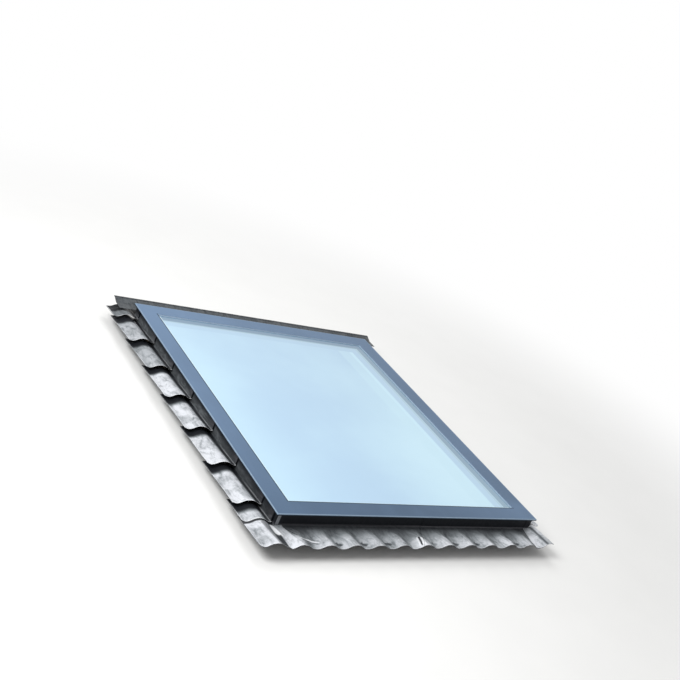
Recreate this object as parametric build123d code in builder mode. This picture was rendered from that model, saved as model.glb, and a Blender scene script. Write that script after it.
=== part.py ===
from build123d import *
from math import sqrt
import os

# Fixed flat-glass roof skylight on its timber kerb, with dressed lead flashings.
# Millimetres. X is across the roof, Y points up the slope, Z points out of the roof.
# The origin is the middle of the whole footprint, on the kerb's underside.

# Overall frame and kerb
frame_width = 1690.0
frame_length = 2090.0
overhang = 20.0
kerb_thickness = 75.0
kerb_height = 100.0
kerb_arris = 2.0
seal_thickness = 3.0
seal_width = 30.0

# Aluminium frame: base bar and flat cover bar
sight_nose = 9.8
cover = 4.0
cover_lip = 3.0
cover_lip_depth = 9.0
cover_arris = 1.2
clip = 2.0
clip_depth = 7.0
clip_clearance = 0.2
web = 3.0
flange = 3.0
leg_depth = 38.0
leg_clearance = 0.2

# Sealed glass unit and its gaskets
pane_outer = 6.0
pane_inner = 6.0
cavity = 16.0
glass_bite = 22.0
glass_edge_gap = 5.0
glass_arris = 1.0
gasket_outer = 4.0
gasket_inner = 3.0
gasket_lip = 3.0
gasket_bevel = 2.6
gasket_width = 14.0
edge_seal_width = 8.0
spacer_width = 7.0
spacer_arris = 1.5

# Setting blocks
block_length = 100.0
block_height = 20.0
block_clearance = 0.1
block_ratio = 0.5

# Corner cleats
cleat_arm = 70.0
cleat_clearance = 0.25
cleat_arris = 2.0
cleat_pin = 8.0
cleat_pin_place = 45.0

# Fasteners
frame_screw = 4.8
frame_screw_length = 45.0
frame_screw_head = 10.0
frame_screw_head_height = 3.2
frame_screw_drop = 20.0
side_screw_count = 5
end_screw_count = 4
frame_screw_end = 200.0
corner_screw = 6.0
corner_screw_length = 140.0
corner_screw_head = 12.0
corner_screw_rise = 25.0
nail = 2.8
nail_length = 25.0
nail_head = 8.0
nail_head_height = 1.0
nail_drop = 57.0
nail_first = 18.0
nail_second = 48.0
bore_clearance = 0.2

# Lead sheet and how it laps
lead = 2.0
lead_gap = 0.3
lap_gap = 1.5
fold_radius = 5.0
lead_top_drop = 12.0
head_setback = 0.2
nose_setback = 4.8

# Rolls and courses of the tiles that the lead is dressed to
roll_pitch = 146.0
roll_height = 21.0
roll_first = 75.0
pan_drop = 66.0
course_tilt = 0.078
gauge_first = 324.0
gauge_shrink = 4.5
side_lap = 75.0
top_course_least = 250.0
upper_corner_in = 63.0
first_soaker_in = 20.0
left_reach = 156.0
right_reach = 120.0
tail_corner = 24.0

# Apron
apron_reach = 182.0
apron_fold_drop = 80.0
apron_bend = 18.0
apron_flat_swing = 1.2
apron_roll_height = 22.0
apron_pan_drop = 79.0
apron_end_inset = 15.0
apron_join = 51.0
apron_join_skew = 100.0
apron_join_lap = 120.0
corner_blend = 12.0
corner_wrap = 35.0
corner_lap = 75.0
left_corner_inner = 70.0
right_corner_inner = 80.0
right_apron_reach = 68.0

# Back gutter
gutter_drop = 38.0
gutter_sole = 72.0
gutter_slope = 42.0
gutter_slope_rise = 16.0
gutter_welt = 12.0
gutter_past = 110.0
gutter_wrap = 55.0
gutter_tail = 90.0
gutter_tail_in = 30.0

# Levels and half sizes
unit_thickness = pane_outer + cavity + pane_inner
base_depth = gasket_outer + unit_thickness + gasket_inner + flange
frame_base = kerb_height + seal_thickness
base_top = frame_base + base_depth
frame_top = base_top + cover
half_w = frame_width / 2
half_l = frame_length / 2
kerb_half_w = half_w - overhang
kerb_half_l = half_l - overhang
open_half_w = kerb_half_w - kerb_thickness
open_half_l = kerb_half_l - kerb_thickness
leg_place = overhang + kerb_thickness + leg_clearance
face_width = leg_place + web + sight_nose
glass_edge = face_width - glass_bite
stop_face = glass_edge - glass_edge_gap
pan_level = frame_top - pan_drop
lead_top = frame_top - lead_top_drop
nail_level = frame_top - nail_drop
lead_step = lead + lead_gap
apron_fold = frame_top - apron_fold_drop
apron_pan = frame_top - apron_pan_drop
apron_edge = -kerb_half_l - apron_reach
gutter_reach = gutter_sole + gutter_slope + gutter_welt

# The kerb's middle from the origin: the lead reaches further on some sides than on others
MIDDLE = Vector((left_reach - right_reach) / 2, (apron_reach - gutter_reach) / 2, 0)

os.makedirs("parts", exist_ok=True)


def save(name, part):
    part.label = name
    export_step(part, f"parts/{name}.step")


def at_level(height):
    """Level plane over the kerb's middle."""
    return Plane(origin=MIDDLE + Vector(0, 0, height))


# The four sides of the frame: outward and along directions
SIDES = {
    "bottom": (Vector(0, -1, 0), Vector(1, 0, 0)),
    "right": (Vector(1, 0, 0), Vector(0, 1, 0)),
    "top": (Vector(0, 1, 0), Vector(-1, 0, 0)),
    "left": (Vector(-1, 0, 0), Vector(0, -1, 0)),
}


def across(name):
    """Half size of the frame square to a side."""
    return half_l if name in ("bottom", "top") else half_w


def along(name):
    """Half size of the frame along a side."""
    return half_w if name in ("bottom", "top") else half_l


def screw_places(name):
    """Distances along a side of its frame screws, from the middle."""
    reach = along(name) - frame_screw_end
    count = end_screw_count if name in ("bottom", "top") else side_screw_count
    return [reach * (2 * i / (count - 1) - 1) for i in range(count)]


def ring(width, length, edge):
    """A rectangular ring of an edge width, in the sketch being built."""
    Rectangle(width, length)
    Rectangle(width - 2 * edge, length - 2 * edge, mode=Mode.SUBTRACT)


def kerb_screw_places():
    return [
        (side, end, height)
        for side in (-1, 1)
        for end in (-1, 1)
        for height in (corner_screw_rise, kerb_height - corner_screw_rise)
    ]


def corner_screw_plane(side, end, height):
    """Plane on a side board's outer face, looking inward."""
    place = Vector(side * kerb_half_w, end * (kerb_half_l - kerb_thickness / 2), height)
    return Plane(origin=MIDDLE + place, z_dir=(-side, 0, 0))


# Lower edges of the side flashings, from the apron's edge upward, and how many fit the kerb
def course_edge(course):
    edge = apron_edge
    for i in range(course):
        edge += gauge_first - gauge_shrink * i
    return edge


courses = 1
while course_edge(courses) < kerb_half_l - top_course_least:
    courses += 1


def soaker_span(course):
    """Y of a side flashing's lower edge and head, from the kerb's middle."""
    nose = course_edge(course) if course else first_soaker_in - kerb_half_l
    if course == courses - 1:
        return nose, kerb_half_l - lead_step
    return nose, course_edge(course + 1) + side_lap


def nail_places():
    """Side, course and y of each nail, two at the head of each side flashing."""
    return [
        (side, course, soaker_span(course)[1] - drop)
        for side in (-1, 1)
        for course in range(courses)
        for drop in (nail_first, nail_second)
    ]


def nail_plane(side, y, distance):
    """Plane at a distance outside the kerb's side, looking outward."""
    place = Vector(side * (kerb_half_w + distance), y, nail_level)
    return Plane(origin=MIDDLE + place, z_dir=(side, 0, 0))


# Timber kerb: long side boards with the end boards between them
for name, (out, run) in SIDES.items():
    is_side = name in ("left", "right")
    length = 2 * kerb_half_l if is_side else 2 * open_half_w
    outer = kerb_half_w if is_side else kerb_half_l
    board_plane = Plane(origin=MIDDLE + out * (outer - kerb_thickness / 2), x_dir=run)
    with BuildPart() as board:
        with BuildSketch(board_plane):
            Rectangle(length, kerb_thickness)
        extrude(amount=kerb_height)
        top_edges = board.edges().group_by(Axis.Z)[-1]
        chamfer(top_edges.filter_by(Axis((0, 0, 0), run)), kerb_arris)
        # Pilot holes of the frame screws, from the opening outward
        screw_level = Vector(0, 0, frame_base - frame_screw_drop)
        inner_face = MIDDLE + out * (outer - kerb_thickness) + screw_level
        for place in screw_places(name):
            with BuildSketch(Plane(origin=inner_face + run * place, z_dir=out)):
                Circle((frame_screw + bore_clearance) / 2)
            extrude(amount=frame_screw_length, mode=Mode.SUBTRACT)
        # Corner screws pass through the side boards into the end boards
        for side, end, height in kerb_screw_places():
            if (is_side and out.X * side < 0) or (not is_side and out.Y * end < 0):
                continue
            with BuildSketch(corner_screw_plane(side, end, height)):
                Circle((corner_screw + bore_clearance) / 2)
            extrude(amount=corner_screw_length + bore_clearance, mode=Mode.SUBTRACT)
            if is_side:
                with BuildSketch(corner_screw_plane(side, end, height)):
                    Circle(corner_screw_head / 2 + bore_clearance)
                sink = (corner_screw_head - corner_screw) / 2 + bore_clearance
                extrude(amount=sink, taper=45, mode=Mode.SUBTRACT)
        # Nail holes of the side flashings
        for side, course, y in nail_places():
            if is_side and out.X * side > 0:
                with BuildSketch(nail_plane(side, y, 0)):
                    Circle((nail + bore_clearance) / 2)
                extrude(amount=-nail_length, mode=Mode.SUBTRACT)
    save(f"kerb_board_{name}", board.part)

# Countersunk screws of the kerb's corners
with BuildPart() as kerb_screws:
    for side, end, height in kerb_screw_places():
        sink = (corner_screw_head - corner_screw) / 2
        with BuildSketch(corner_screw_plane(side, end, height)):
            Circle(corner_screw_head / 2)
        extrude(amount=sink, taper=45)
        with BuildSketch(corner_screw_plane(side, end, height).offset(sink)):
            Circle(corner_screw / 2)
        extrude(amount=corner_screw_length - sink)
save("kerb_screws", kerb_screws.part)

# Foam seal between kerb and frame
with BuildPart() as kerb_seal:
    inset = (kerb_thickness - seal_width) / 2
    with BuildSketch(at_level(kerb_height)):
        ring(2 * (kerb_half_w - inset), 2 * (kerb_half_l - inset), seal_width)
    extrude(amount=seal_thickness)
save("kerb_seal", kerb_seal.part)

# Chambers of the aluminium base bar, measured inward from the frame's outer edge
chamber_web = (overhang + stop_face) / 2 - web / 2


def box_section(left, right, bottom, top):
    """A rectangle between four limits, in the sketch being built."""
    with Locations(((left + right) / 2, (bottom + top) / 2)):
        Rectangle(right - left, top - bottom)


def base_section():
    """Base bar: x inward from the frame's outer edge, y up from the bar's underside."""
    box_section(overhang, face_width, 0, flange)
    box_section(overhang, stop_face, base_depth - flange, base_depth)
    for place in (overhang, chamber_web, stop_face - web):
        box_section(place, place + web, 0, base_depth)
    box_section(leg_place, leg_place + web, -leg_depth, flange)


def cover_section():
    """Cover bar: x inward from the frame's outer edge, y up from the base bar's top."""
    box_section(0, face_width, 0, cover)
    box_section(0, cover_lip, cover - cover_lip_depth, cover)
    clip_place = stop_face + clip_clearance
    box_section(clip_place, clip_place + clip, -clip_depth, cover)


def mitre(name, corner_base, end):
    """Cut the bar being built to the mitre at one of its ends."""
    out, run = SIDES[name]
    corner = corner_base + run * (end * along(name))
    split(bisect_by=Plane(origin=corner, z_dir=run * end - out), keep=Keep.BOTTOM)


for name, (out, run) in SIDES.items():
    outer_edge = MIDDLE + out * across(name)
    with BuildPart() as base_bar:
        base_edge = outer_edge + Vector(0, 0, frame_base)
        with BuildSketch(Plane(origin=base_edge, x_dir=-out, z_dir=run)):
            base_section()
        extrude(amount=along(name), both=True)
        mitre(name, base_edge, -1)
        mitre(name, base_edge, 1)
        leg_face = outer_edge - out * (leg_place + web)
        hole_start = leg_face + Vector(0, 0, frame_base - frame_screw_drop)
        for place in screw_places(name):
            with BuildSketch(Plane(origin=hole_start + run * place, z_dir=out)):
                Circle((frame_screw + bore_clearance) / 2)
            extrude(amount=web, mode=Mode.SUBTRACT)
    save(f"base_bar_{name}", base_bar.part)
    with BuildPart() as cover_bar:
        cover_edge = outer_edge + Vector(0, 0, base_top)
        with BuildSketch(Plane(origin=cover_edge, x_dir=-out, z_dir=run)) as section:
            cover_section()
            chamfer(section.vertices().group_by(Axis.Y)[-1], cover_arris)
        extrude(amount=along(name), both=True)
        mitre(name, cover_edge, -1)
        mitre(name, cover_edge, 1)
    save(f"cover_bar_{name}", cover_bar.part)

# Pan-head screws that hold the base bars to the kerb from inside
with BuildPart() as frame_screws:
    for name, (out, run) in SIDES.items():
        leg_face = MIDDLE + out * (across(name) - leg_place - web)
        hole_start = leg_face + Vector(0, 0, frame_base - frame_screw_drop)
        for place in screw_places(name):
            head_plane = Plane(origin=hole_start + run * place, x_dir=out, z_dir=run)
            with BuildSketch(head_plane):
                with BuildLine():
                    head_rim = (0, frame_screw_head / 2)
                    head_top = (-frame_screw_head_height, 0)
                    shank_end = (frame_screw_length, frame_screw / 2)
                    RadiusArc(head_top, head_rim, frame_screw_head * 0.6)
                    Polyline(head_rim, (0, frame_screw / 2), shank_end)
                    Polyline(shank_end, (frame_screw_length, 0), head_top)
                make_face()
            revolve(axis=Axis(head_plane.origin, out))
save("frame_screws", frame_screws.part)

# Cast corner cleats inside the outer chambers of the mitred base bars
cleat_outer = overhang + web + cleat_clearance
cleat_width = chamber_web - overhang - web - 2 * cleat_clearance
cleat_height = base_depth - 2 * flange - 2 * cleat_clearance
CORNERS = {
    "bottom_left": (-1, -1),
    "bottom_right": (1, -1),
    "top_right": (1, 1),
    "top_left": (-1, 1),
}
for name, (sx, sy) in CORNERS.items():
    corner = Vector(sx * (half_w - cleat_outer), sy * (half_l - cleat_outer), 0)
    cleat_level = frame_base + flange + cleat_clearance
    turn = sx * sy
    cleat_plane = Plane(origin=MIDDLE + corner, x_dir=(-sx, 0, 0), z_dir=(0, 0, turn))
    with BuildPart() as cleat:
        with BuildSketch(cleat_plane.offset(turn * cleat_level)) as outline:
            Rectangle(cleat_arm, cleat_width, align=Align.MIN)
            Rectangle(cleat_width, cleat_arm, align=Align.MIN)
            chamfer(outline.vertices().group_by(Axis.X)[-1], cleat_arris)
            chamfer(outline.vertices().group_by(Axis.Y)[-1], cleat_arris)
            with Locations((cleat_pin_place, cleat_width / 2), (cleat_width / 2, cleat_pin_place)):
                Circle(cleat_pin / 2, mode=Mode.SUBTRACT)
        extrude(amount=turn * cleat_height)
    save(f"corner_cleat_{name}", cleat.part)

# Sealed double-glazed unit
glass_w = frame_width - 2 * glass_edge
glass_l = frame_length - 2 * glass_edge
glass_bottom = frame_base + flange + gasket_inner
glass_top = glass_bottom + unit_thickness

with BuildPart() as inner_pane:
    with BuildSketch(at_level(glass_bottom)):
        Rectangle(glass_w, glass_l)
    extrude(amount=pane_inner)
    chamfer(inner_pane.faces().filter_by(Axis.Z).edges(), glass_arris)
save("inner_pane", inner_pane.part)

with BuildPart() as outer_pane:
    with BuildSketch(at_level(glass_top - pane_outer)):
        Rectangle(glass_w, glass_l)
    extrude(amount=pane_outer)
    chamfer(outer_pane.faces().filter_by(Axis.Z).edges(), glass_arris)
save("outer_pane", outer_pane.part)

with BuildPart() as spacer_bar:
    with BuildSketch(at_level(glass_bottom + pane_inner)):
        ring(glass_w - 2 * edge_seal_width, glass_l - 2 * edge_seal_width, spacer_width)
    extrude(amount=cavity)
    back_edges = [e for f in spacer_bar.faces().filter_by(Axis.Z) for e in f.outer_wire().edges()]
    chamfer(back_edges, spacer_arris)
save("spacer_bar", spacer_bar.part)

with BuildPart() as edge_seal:
    with BuildSketch(at_level(glass_bottom + pane_inner)):
        ring(glass_w, glass_l, edge_seal_width)
    extrude(amount=cavity)
save("edge_seal", edge_seal.part)

# Glazing gaskets: the outer one shows a bevelled lip beside the glass
with BuildPart() as outer_gasket:
    gasket_start = face_width + gasket_lip - gasket_width
    with BuildSketch(at_level(glass_top)):
        ring(frame_width - 2 * gasket_start, frame_length - 2 * gasket_start, gasket_width)
    extrude(amount=gasket_outer)
    lip_edges = outer_gasket.faces().sort_by(Axis.Z)[-1].inner_wires()[0].edges()
    chamfer(lip_edges, gasket_bevel)
save("outer_gasket", outer_gasket.part)

with BuildPart() as inner_gasket:
    bed_start = face_width - gasket_width
    with BuildSketch(at_level(glass_bottom - gasket_inner)):
        ring(frame_width - 2 * bed_start, frame_length - 2 * bed_start, gasket_width)
    extrude(amount=gasket_inner)
save("inner_gasket", inner_gasket.part)

# Setting blocks that carry and centre the glass in its pocket
with BuildPart() as setting_blocks:
    for name in ("bottom", "left", "right"):
        out, run = SIDES[name]
        block_level = Vector(0, 0, glass_bottom + (unit_thickness - block_height) / 2)
        pocket = MIDDLE + out * (across(name) - (glass_edge + stop_face) / 2) + block_level
        for end in (-1, 1):
            block_middle = pocket + run * (end * along(name) * block_ratio)
            with BuildSketch(Plane(origin=block_middle, x_dir=run)):
                Rectangle(block_length, glass_edge_gap - 2 * block_clearance)
            extrude(amount=block_height)
save("setting_blocks", setting_blocks.part)

# Rolls of the tiles, as tangent arcs. Distances run outward from a kerb face, and each side
# has a crest at its own distance.
LEFT_CREST = roll_first
RIGHT_CREST = (-2 * kerb_half_w - roll_first) % roll_pitch
FRONT_CREST = -roll_first


def roll_rise(distance, crest, swing):
    """Height of the rolls above the pan."""
    radius = (roll_pitch**2 / 16 + swing**2 / 4) / swing
    place = (distance - crest) % roll_pitch
    to_crest = min(place, roll_pitch - place)
    if to_crest <= roll_pitch / 4:
        return swing - radius + sqrt(radius**2 - to_crest**2)
    return radius - sqrt(radius**2 - (roll_pitch / 2 - to_crest) ** 2)


def roll_line(start, end, level, crest, swing=roll_height):
    """Arcs along the rolls from start to end, in the line being built."""
    low, high = min(start, end), max(start, end)
    half = roll_pitch / 2
    first = crest + roll_pitch / 4
    steps = range(int((low - first) // half), int((high - first) // half) + 1)
    stops = [low] + [first + half * i for i in steps if low + 1 < first + half * i < high - 1]
    stops = stops + [high]
    if start > end:
        stops.reverse()
    for a, b in zip(stops, stops[1:]):
        ThreePointArc(*[(d, level + roll_rise(d, crest, swing)) for d in (a, (a + b) / 2, b)])


def roll_band(start, end, level, crest, swing=roll_height):
    """Outline of a sheet of lead over the rolls."""
    start_level = level + roll_rise(start, crest, swing)
    end_level = level + roll_rise(end, crest, swing)
    with BuildLine() as outline:
        roll_line(start, end, level, crest, swing)
        Line((end, end_level), (end, end_level + lead))
        roll_line(end, start, level + lead, crest, swing)
        Line((start, start_level + lead), (start, start_level))
    return outline.line


def soaker_outline(reach, level, crest, setback, top):
    """Outline of a side flashing: upstand, fold and a tail over the roll."""
    end_level = level + roll_rise(reach, crest, roll_height)
    outer_fold = level + roll_rise(setback, crest, roll_height)
    inner_fold = level + lead + roll_rise(setback + lead, crest, roll_height)
    with BuildLine() as outline:
        Line((setback, top), (setback, outer_fold))
        roll_line(setback, reach, level, crest)
        Line((reach, end_level), (reach, end_level + lead))
        roll_line(reach, setback + lead, level + lead, crest)
        Polyline((setback + lead, inner_fold), (setback + lead, top), (setback, top))
    return outline.line


def fold_corners(sketch, outer_fold, inner_fold):
    """Round both faces of the fold between a flashing's tail and its upstand."""
    fillet(sketch.vertices().sort_by_distance(outer_fold)[0], fold_radius + lead)
    fillet(sketch.vertices().sort_by_distance(inner_fold)[0], fold_radius)


def side_plane(side, y):
    """Plane across a side flashing: x outward from the kerb face, y up."""
    place = MIDDLE + Vector(side * kerb_half_w, y, 0)
    return Plane(origin=place, x_dir=(side, 0, 0), z_dir=(0, -side, 0))


def front_plane(y):
    """Plane across the apron: x measured from the kerb's left face, y up."""
    return Plane(origin=MIDDLE + Vector(-kerb_half_w, y, 0), z_dir=(0, -1, 0), x_dir=(1, 0, 0))


def tail_offcut(side, reach, y):
    """What a rounded outer corner leaves off a tail: the square corner less its circle."""
    corner = MIDDLE + Vector(side * (kerb_half_w + reach), y, 0)
    with BuildSketch(Plane(origin=corner, x_dir=(-side, 0, 0), z_dir=(0, 0, -side))) as offcut:
        with Locations((tail_corner / 2, tail_corner / 2)):
            Rectangle(tail_corner, tail_corner)
        with Locations((tail_corner, tail_corner)):
            Circle(tail_corner, mode=Mode.SUBTRACT)
    return offcut.sketch


def up_slope(side, length, slide=0):
    """Way up the slope of a side flashing that sinks with its course and closes on the kerb."""
    return Vector(-side * slide, length, -course_tilt * length)


def side_flashing(side, span, level, reach, setbacks, holes):
    """One side flashing from its lower edge to its head."""
    crest = LEFT_CREST if side < 0 else RIGHT_CREST
    nose, head = span
    first, last = setbacks
    way = up_slope(side, head - nose, first - last)
    tall = lead_top + course_tilt * (head - nose)
    with BuildPart() as flashing:
        with BuildSketch(side_plane(side, nose)) as section:
            make_face(soaker_outline(reach, level, crest, first, tall))
            outer_fold = level + roll_rise(first, crest, roll_height)
            inner_fold = level + lead + roll_rise(first + lead, crest, roll_height)
            fold_corners(section, (first, outer_fold), (first + lead, inner_fold))
        extrude(amount=way.length, dir=way.normalized())
        split(bisect_by=Plane.XY.offset(lead_top), keep=Keep.BOTTOM)
        offcut = tail_offcut(side, reach, nose)
        extrude(offcut, amount=-side * frame_top, mode=Mode.SUBTRACT)
        for y in holes:
            with BuildSketch(nail_plane(side, y, 0)):
                Circle((nail + bore_clearance) / 2)
            extrude(amount=nose_setback + 2 * lead, mode=Mode.SUBTRACT)
    return flashing.part


# Side flashings, one to each tile course, each lapped over the one below
for side, side_name, reach in ((-1, "left", left_reach), (1, "right", right_reach)):
    for course in range(courses):
        span = soaker_span(course)
        level = pan_level
        if course == 0:
            level += lead + lap_gap - course_tilt * (span[0] - apron_edge)
        holes = [y for s, c, y in nail_places() if s == side and c == course]
        setbacks = (nose_setback, head_setback)
        soaker = side_flashing(side, span, level, reach, setbacks, holes)
        save(f"{side_name}_soaker_{course + 1}", soaker)

# Copper nails through the soakers' heads, under the next lap
with BuildPart() as lead_nails:
    for side, course, y in nail_places():
        nose, head = soaker_span(course)
        slide = (nose_setback - head_setback) * (head - y) / (head - nose)
        face = head_setback + slide + lead + bore_clearance / 2
        with BuildSketch(nail_plane(side, y, face)):
            Circle(nail_head / 2)
        extrude(amount=nail_head_height)
        with BuildSketch(nail_plane(side, y, face)):
            Circle(nail / 2)
        extrude(amount=lead + bore_clearance - nail_length)
save("lead_nails", lead_nails.part)


# Apron below the frame: straight at its fold, dressed over the rolls at its edge
def apron_strip(start, end, layer):
    """Upstand, fold and rolled tail between two places along the front, from the left face."""
    setback = lead_gap + layer * lead_step
    fold = apron_fold + layer * lead_step
    bend_origin = MIDDLE + Vector(start - kerb_half_w, -kerb_half_l, 0)
    with BuildPart() as strip:
        bend_plane = Plane(origin=bend_origin, x_dir=(0, -1, 0), z_dir=(-1, 0, 0))
        with BuildSketch(bend_plane) as bend:
            with BuildLine():
                Polyline(
                    (setback, lead_top),
                    (setback, fold),
                    (apron_bend, fold),
                    (apron_bend, fold + lead),
                    (setback + lead, fold + lead),
                    (setback + lead, lead_top),
                    close=True,
                )
            make_face()
            fold_corners(bend, (setback, fold), (setback + lead, fold + lead))
        extrude(amount=start - end)
        with BuildSketch(front_plane(-kerb_half_l - apron_bend)):
            make_face(roll_band(start, end, fold, FRONT_CREST, apron_flat_swing))
        with BuildSketch(front_plane(apron_edge)):
            edge_level = apron_pan + layer * lead_step
            make_face(roll_band(start, end, edge_level, FRONT_CREST, apron_roll_height))
        loft(ruled=True)
    return strip.part


def skew_plane(inner, outer):
    """Upright plane from one place on the kerb's front to another at the apron's edge."""
    start = Vector(inner - kerb_half_w, -kerb_half_l, 0)
    end = Vector(outer - kerb_half_w, apron_edge, 0)
    return Plane(origin=MIDDLE + start, z_dir=(end - start).cross(Vector(0, 0, 1)))


join = kerb_half_w + apron_join
apron_left = apron_strip(apron_end_inset, join + apron_join_lap, 0)
save("apron_left", apron_left)

right_sheet = apron_strip(join - apron_join_skew, 2 * kerb_half_w - apron_end_inset, 1)
with BuildPart() as apron_right:
    add(right_sheet)
    split(bisect_by=skew_plane(join, join - apron_join_skew), keep=Keep.BOTTOM)
save("apron_right", apron_right.part)


# Corner pieces of the apron: a rolled tail beside the kerb, a rise round the corner and a
# tongue over the apron
def apron_corner(side, layer, reach, inner):
    crest = LEFT_CREST if side < 0 else RIGHT_CREST
    front = -kerb_half_l
    step = layer * lead_step
    setback = lead_gap + step
    sink = course_tilt * apron_reach
    foot = pan_level - sink
    places = (corner_blend, inner)
    if side > 0:
        places = (2 * kerb_half_w - inner, 2 * kerb_half_w - corner_blend)
    tongue = apron_strip(*places, layer)
    outer_rise = roll_rise(corner_blend, crest, roll_height)
    inner_rise = roll_rise(-corner_blend, crest, apron_roll_height)
    fold_rise = roll_rise(head_setback, crest, roll_height)
    with BuildPart() as corner:
        # Tongue over the apron, cut on the skew
        add(tongue)
        cut = (corner_wrap, inner)
        if side > 0:
            cut = (2 * kerb_half_w - corner_wrap, 2 * kerb_half_w - inner)
        split(bisect_by=skew_plane(*cut), keep=Keep.TOP if side < 0 else Keep.BOTTOM)
        # Tail beside the kerb, up to its head under the first side flashing
        way = up_slope(side, apron_reach + corner_lap)
        with BuildSketch(side_plane(side, apron_edge)):
            make_face(roll_band(corner_blend, reach, pan_level, crest))
        extrude(amount=way.length, dir=way.normalized())
        # Fold and upstand on the kerb's side
        way = up_slope(side, corner_lap)
        with BuildSketch(side_plane(side, front)) as fold:
            tall = lead_top + course_tilt * corner_lap
            with BuildLine():
                Polyline(
                    (head_setback, tall),
                    (head_setback, foot + fold_rise),
                    (corner_blend, foot + outer_rise),
                    (corner_blend, foot + outer_rise + lead),
                    (head_setback + lead, foot + fold_rise + lead),
                    (head_setback + lead, tall),
                    close=True,
                )
            make_face()
            outer_fold = (head_setback, foot + fold_rise)
            inner_fold = (head_setback + lead, foot + fold_rise + lead)
            fold_corners(fold, outer_fold, inner_fold)
        extrude(amount=way.length, dir=way.normalized())
        split(bisect_by=Plane.XY.offset(lead_top), keep=Keep.BOTTOM)
        # Rise between the tail and the tongue
        for distance, edge_level, bend_level, back_level in (
            (
                corner_blend,
                pan_level + outer_rise,
                foot + course_tilt * apron_bend + outer_rise,
                foot + outer_rise,
            ),
            (
                -corner_blend,
                apron_pan + step + inner_rise,
                apron_fold + step,
                apron_fold + step,
            ),
        ):
            place = MIDDLE + Vector(side * (kerb_half_w + distance), 0, 0)
            with BuildSketch(Plane(origin=place, x_dir=(0, 1, 0), z_dir=(1, 0, 0))):
                with BuildLine():
                    Polyline(
                        (apron_edge, edge_level),
                        (front - apron_bend, bend_level),
                        (front - setback, back_level),
                        (front - setback, back_level + lead),
                        (front - apron_bend, bend_level + lead),
                        (apron_edge, edge_level + lead),
                        close=True,
                    )
                make_face()
        loft(ruled=True)
        # Upstand round the kerb's corner
        corner_point = MIDDLE + Vector(side * kerb_half_w, front, 0)
        low = min(foot + fold_rise + lead / 2, apron_fold + step)
        wrap_plane = Plane(origin=corner_point, x_dir=(side, 0, 0), z_dir=(0, 0, -side))
        with BuildSketch(wrap_plane.offset(-side * low)):
            with BuildLine():
                Polyline(
                    (head_setback, -corner_lap / 3),
                    (head_setback + lead, -corner_lap / 3),
                    (head_setback + lead, setback + lead),
                    (-corner_blend, setback + lead),
                    (-corner_blend, setback),
                    (head_setback, setback),
                    close=True,
                )
            make_face()
        extrude(amount=-side * (lead_top - low))
        offcut = tail_offcut(side, reach, apron_edge)
        extrude(offcut, amount=-side * frame_top, mode=Mode.SUBTRACT)
    return corner.part


save("apron_corner_left", apron_corner(-1, 1, left_reach, left_corner_inner))
save("apron_corner_right", apron_corner(1, 2, right_apron_reach, right_corner_inner))

# Upper corner flashings, lapped over the top side flashings and passing under the gutter
for side, side_name, reach in ((-1, "left", left_reach), (1, "right", right_reach)):
    crest = LEFT_CREST if side < 0 else RIGHT_CREST
    nose = kerb_half_l - upper_corner_in
    back = kerb_half_l + head_setback / 2
    setbacks = (nose_setback, nose_setback)
    upper = side_flashing(side, (nose, back), pan_level, reach, setbacks, [])
    with BuildPart() as upper_corner:
        add(upper)
        with BuildSketch(side_plane(side, back)):
            back_level = pan_level - course_tilt * (back - nose)
            make_face(roll_band(-gutter_tail_in, reach, back_level, crest))
        way = up_slope(side, gutter_tail)
        extrude(amount=way.length, dir=way.normalized())
    save(f"upper_corner_{side_name}", upper_corner.part)

# Back gutter above the frame: upstand, level sole, slope and welted edge
with BuildPart() as back_gutter:
    gutter_end = MIDDLE + Vector(-kerb_half_w - gutter_past, kerb_half_l, frame_top - gutter_drop)
    with BuildSketch(Plane(origin=gutter_end, x_dir=(0, 1, 0), z_dir=(1, 0, 0))):
        with BuildLine():
            sole_end = (gutter_sole, 0)
            slope_end = (gutter_sole + gutter_slope, gutter_slope_rise)
            welt_end = (gutter_reach, gutter_slope_rise)
            Polyline((head_setback, 0), sole_end, slope_end, welt_end)
            Polyline(
                welt_end,
                (gutter_reach, gutter_slope_rise + 2 * lead),
                (gutter_sole + gutter_slope, gutter_slope_rise + 2 * lead),
                (gutter_sole + gutter_slope, gutter_slope_rise + lead),
                (gutter_sole, lead),
                (head_setback, lead),
                (head_setback, 0),
            )
        make_face()
    extrude(amount=2 * (kerb_half_w + gutter_past))
    wrap_inner = nose_setback + lead_step
    with BuildSketch(at_level(frame_top - gutter_drop)):
        with BuildLine():
            wrap_end = kerb_half_l - gutter_wrap
            inner_x = kerb_half_w + wrap_inner
            inner_y = kerb_half_l + head_setback
            Polyline(
                (-inner_x, wrap_end),
                (-inner_x, inner_y),
                (inner_x, inner_y),
                (inner_x, wrap_end),
                (inner_x + lead, wrap_end),
                (inner_x + lead, inner_y + lead),
                (-inner_x - lead, inner_y + lead),
                (-inner_x - lead, wrap_end),
                close=True,
            )
        make_face()
    extrude(amount=gutter_drop - lead_top_drop)
save("back_gutter", back_gutter.part)
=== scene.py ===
import math

import bmesh
import bpy
from mathutils import Matrix, Vector, noise


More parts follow.
